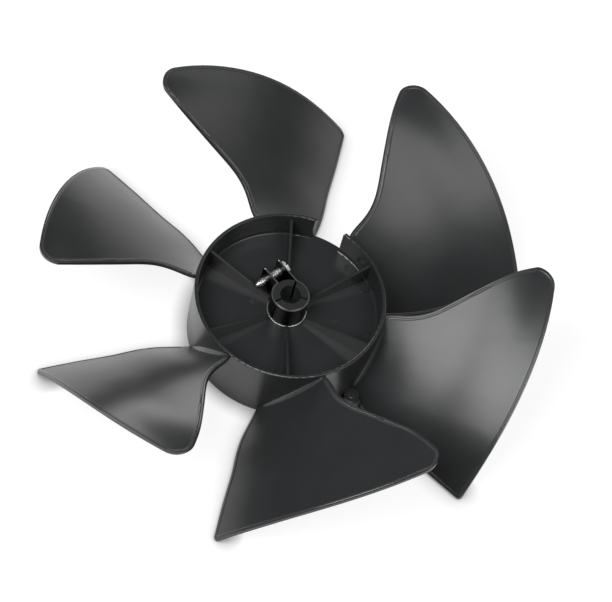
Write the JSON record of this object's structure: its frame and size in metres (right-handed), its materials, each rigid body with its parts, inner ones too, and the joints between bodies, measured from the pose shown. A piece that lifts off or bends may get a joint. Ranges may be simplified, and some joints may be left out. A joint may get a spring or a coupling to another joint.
{
  "type": "axial fan impeller",
  "caption": "Moulded axial fan impeller with forward-swept blades on a cup-shaped ribbed hub, clamped on its shaft by a steel band and screw.",
  "frame": {"origin": "on the shaft axis, level with the back of the hub and the low edges of the blades", "axes": "+Z along the shaft axis from the closed back to the open front of the hub; +X along the middle of one blade's root"},
  "size_m": [0.304, 0.3066, 0.079],
  "materials": {
    "black_plastic": "satin, lightly textured black moulded plastic",
    "dark_steel": "dark oiled spring steel strip with bright edges",
    "zinc_steel": "bright zinc plating"
  },
  "bodies": {
    "root": {"impeller": "black_plastic", "clamp_band": "dark_steel", "clamp_screw": "zinc_steel"}
  },
  "joints": []
}
